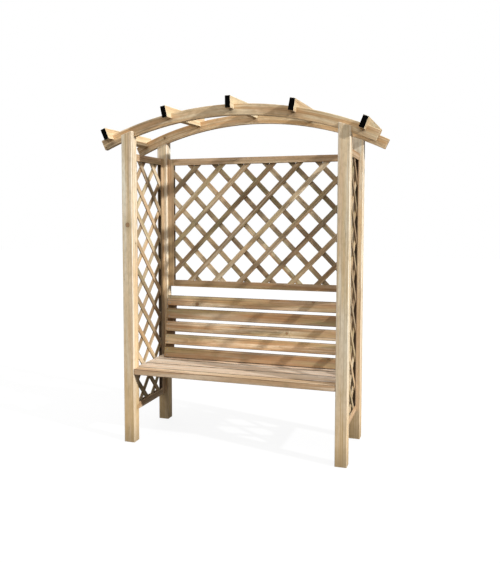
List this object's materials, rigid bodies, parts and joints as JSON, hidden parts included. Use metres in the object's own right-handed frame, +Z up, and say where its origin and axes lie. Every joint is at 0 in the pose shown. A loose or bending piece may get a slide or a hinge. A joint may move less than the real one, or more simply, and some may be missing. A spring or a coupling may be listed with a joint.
{
  "type": "garden arbour seat",
  "caption": "Timber garden arbour seat with an arched rafter roof on posts, trellis back and sides, and a slatted bench with a raked backrest.",
  "frame": {"origin": "on the ground, at the middle of the width and depth", "axes": "+Z up, -Y towards the open front that a sitter faces, +X to the right when seen from the front"},
  "size_m": [1.85, 0.7016, 2.2921],
  "materials": {
    "arch_timber": "planed, pressure-treated pine, curved board with lengthwise grain",
    "backrest_timber": "planed, pressure-treated pine, warm brown with grain streaks",
    "bearer_timber": "planed, pressure-treated pine, in shade",
    "fastener_steel": "zinc-plated screws, dull",
    "frame_timber": "planed, pressure-treated pine",
    "post_timber": "planed, pressure-treated pine, pale tan with knots and faint green tint, eased edges",
    "rafter_timber": "planed, pressure-treated pine with end faces sealed black",
    "seat_timber": "planed, pressure-treated pine, pale and worn by weather",
    "slat_timber": "thin sawn pressure-treated pine slats, varied brown"
  },
  "bodies": {
    "root": {"arch_front": "arch_timber", "arch_rear": "arch_timber", "arch_screw_front_left": "fastener_steel", "arch_screw_front_right": "fastener_steel", "arch_screw_rear_left": "fastener_steel", "arch_screw_rear_right": "fastener_steel", "back_bottom_rail": "frame_timber", "back_lattice": "slat_timber", "back_left_stile": "frame_timber", "back_right_stile": "frame_timber", "back_top_rail": "frame_timber", "backrest_board_1": "backrest_timber", "backrest_board_2": "backrest_timber", "backrest_board_3": "backrest_timber", "backrest_board_4": "backrest_timber", "backrest_board_5": "backrest_timber", "backrest_upright_left": "backrest_timber", "backrest_upright_right": "backrest_timber", "bearer_screw_front_left": "fastener_steel", "bearer_screw_front_right": "fastener_steel", "bearer_screw_rear_left": "fastener_steel", "bearer_screw_rear_right": "fastener_steel", "left_bottom_rail": "frame_timber", "left_front_stile": "frame_timber", "left_lattice": "slat_timber", "left_rear_stile": "frame_timber", "left_top_rail": "frame_timber", "post_front_left": "post_timber", "post_front_right": "post_timber", "post_rear_left": "post_timber", "post_rear_right": "post_timber", "rafter_1": "rafter_timber", "rafter_2": "rafter_timber", "rafter_3": "rafter_timber", "rafter_4": "rafter_timber", "rafter_5": "rafter_timber", "rafter_screw_1_front": "fastener_steel", "rafter_screw_1_rear": "fastener_steel", "rafter_screw_2_front": "fastener_steel", "rafter_screw_2_rear": "fastener_steel", "rafter_screw_3_front": "fastener_steel", "rafter_screw_3_rear": "fastener_steel", "rafter_screw_4_front": "fastener_steel", "rafter_screw_4_rear": "fastener_steel", "rafter_screw_5_front": "fastener_steel", "rafter_screw_5_rear": "fastener_steel", "right_bottom_rail": "frame_timber", "right_front_stile": "frame_timber", "right_lattice": "slat_timber", "right_rear_stile": "frame_timber", "right_top_rail": "frame_timber", "seat_bearer_left": "bearer_timber", "seat_bearer_right": "bearer_timber", "seat_board_1": "seat_timber", "seat_board_2": "seat_timber", "seat_board_3": "seat_timber", "seat_front_rail": "seat_timber", "upright_screw_left": "fastener_steel", "upright_screw_right": "fastener_steel"}
  },
  "joints": []
}
